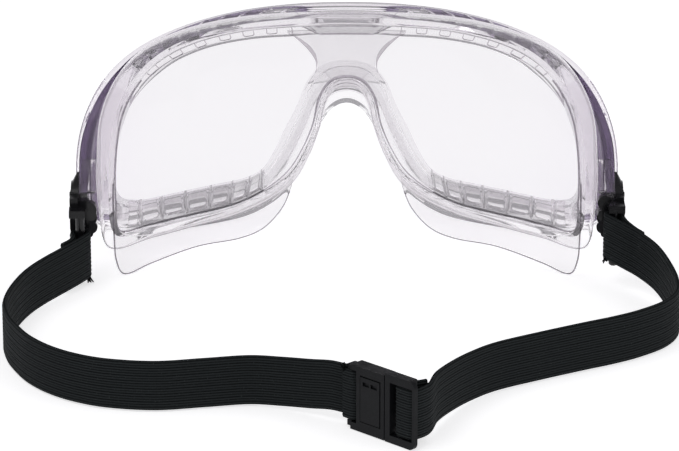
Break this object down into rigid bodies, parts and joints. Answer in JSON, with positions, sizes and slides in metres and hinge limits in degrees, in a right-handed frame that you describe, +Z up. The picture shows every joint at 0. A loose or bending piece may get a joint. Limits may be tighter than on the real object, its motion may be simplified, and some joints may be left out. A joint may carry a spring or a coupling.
{
  "type": "protective goggles",
  "caption": "Wraparound sports protective goggles with a clear soft frame, face seal, swivelling side clips and an elastic headband with a rear buckle.",
  "frame": {"origin": "on the plane the part stands on, under the middle of its overall width and length", "axes": "+Z up, -Y the way the goggles look, +X the wearer's left"},
  "size_m": [0.2078, 0.2299, 0.0805],
  "materials": {
    "lens_polycarbonate": "clear, polished, faint violet tint at the edge",
    "clear_frame": "clear soft moulding, glossy",
    "clear_seal": "clear soft moulding, satin",
    "clip_plastic": "satin black",
    "latch_plastic": "matte black",
    "pin_plastic": "glossy black",
    "elastic_webbing": "ribbed woven elastic",
    "buckle_plastic": "satin black"
  },
  "bodies": {
    "goggles": {"lens": "lens_polycarbonate", "frame_body": "clear_frame", "bridge_panel": "clear_frame", "brow_tab": "clear_frame", "face_seal": "clear_seal", "cheek_flap_left": "clear_seal", "cheek_flap_right": "clear_seal", "top_vent_left": "clear_frame", "top_vent_right": "clear_frame", "brow_ladder_left": "clear_frame", "brow_ladder_right": "clear_frame", "floor_ladder_left": "clear_frame", "floor_ladder_right": "clear_frame", "temple_lug_left": "clear_frame", "temple_lug_right": "clear_frame"},
    "headband": {"strap_clip_left": "clip_plastic", "strap_clip_right": "clip_plastic", "pivot_pin_left": "pin_plastic", "pivot_pin_right": "pin_plastic", "clip_paddle_left": "latch_plastic", "clip_paddle_right": "latch_plastic", "strap_left": "elastic_webbing", "strap_right": "elastic_webbing", "buckle_socket": "buckle_plastic", "buckle_panel": "latch_plastic"},
    "tongue": {"buckle_tongue": "buckle_plastic"}
  },
  "joints": [
    {"name": "headband_swivel", "type": "hinge", "parent": "goggles", "child": "headband", "pos_m": [0, -0.0467, 0.024], "axis": [1, 0, 0], "range_deg": [-20, 35]},
    {"name": "buckle_release", "type": "slide", "parent": "headband", "child": "tongue", "axis": [-0.7046, 0.7096, 0], "range_m": [0, 0.007], "deforming": ["strap_right"]}
  ]
}
